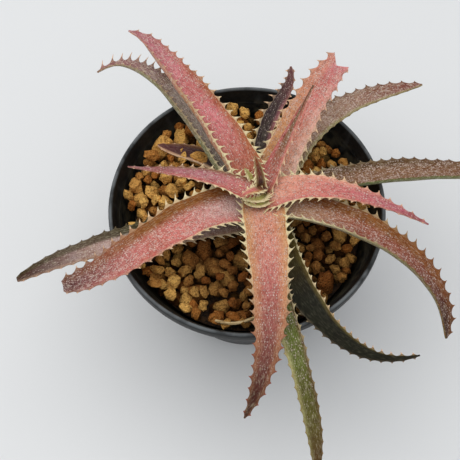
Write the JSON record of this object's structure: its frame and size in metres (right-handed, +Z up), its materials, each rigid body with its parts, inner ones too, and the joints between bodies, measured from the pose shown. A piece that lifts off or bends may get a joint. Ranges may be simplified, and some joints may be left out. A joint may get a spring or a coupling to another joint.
{
  "type": "potted orthophytum hybrid",
  "caption": "Spiny rosette bromeliad with arching channelled leaves edged in hooked spines, rooted in clay granules in a round tapered plastic pot.",
  "frame": {"origin": "middle of the pot's flat bottom, which rests on the table", "axes": "+Z up, +X to the plant's right as seen from the front, -Y to the front"},
  "size_m": [0.1875, 0.1734, 0.1083],
  "materials": {
    "pot_plastic": "matt black moulded plastic",
    "clay_granules": "dry porous ochre clay granules",
    "stem": "fibrous green-brown stem",
    "leaf_rose": "satin rose-pink blade with cream spiny margins",
    "leaf_brown": "satin red-brown blade with cream spiny margins",
    "leaf_olive": "satin olive-brown blade with pale spiny margins",
    "leaf_dark": "satin dark green to purple blade",
    "leaf_dried": "matt dried purple-brown blade",
    "leaf_heart": "satin young green and rose blade"
  },
  "bodies": {
    "root": {"pot": "pot_plastic", "substrate": "clay_granules", "crown": "stem", "leaf_front": "leaf_rose", "leaf_front_lower": "leaf_olive", "leaf_front_right_lower": "leaf_dark", "leaf_right_front": "leaf_brown", "leaf_right": "leaf_rose", "leaf_right_lower": "leaf_olive", "leaf_back_right_lower": "leaf_brown", "leaf_back_right": "leaf_rose", "leaf_back_lower": "leaf_dark", "leaf_inner_back_right": "leaf_rose", "leaf_back_left": "leaf_rose", "leaf_back_left_lower": "leaf_olive", "leaf_left_dried": "leaf_dried", "leaf_left": "leaf_rose", "leaf_left_front": "leaf_brown", "leaf_left_front_lower": "leaf_olive", "leaf_heart_back": "leaf_heart", "leaf_heart_left": "leaf_heart"}
  },
  "joints": []
}
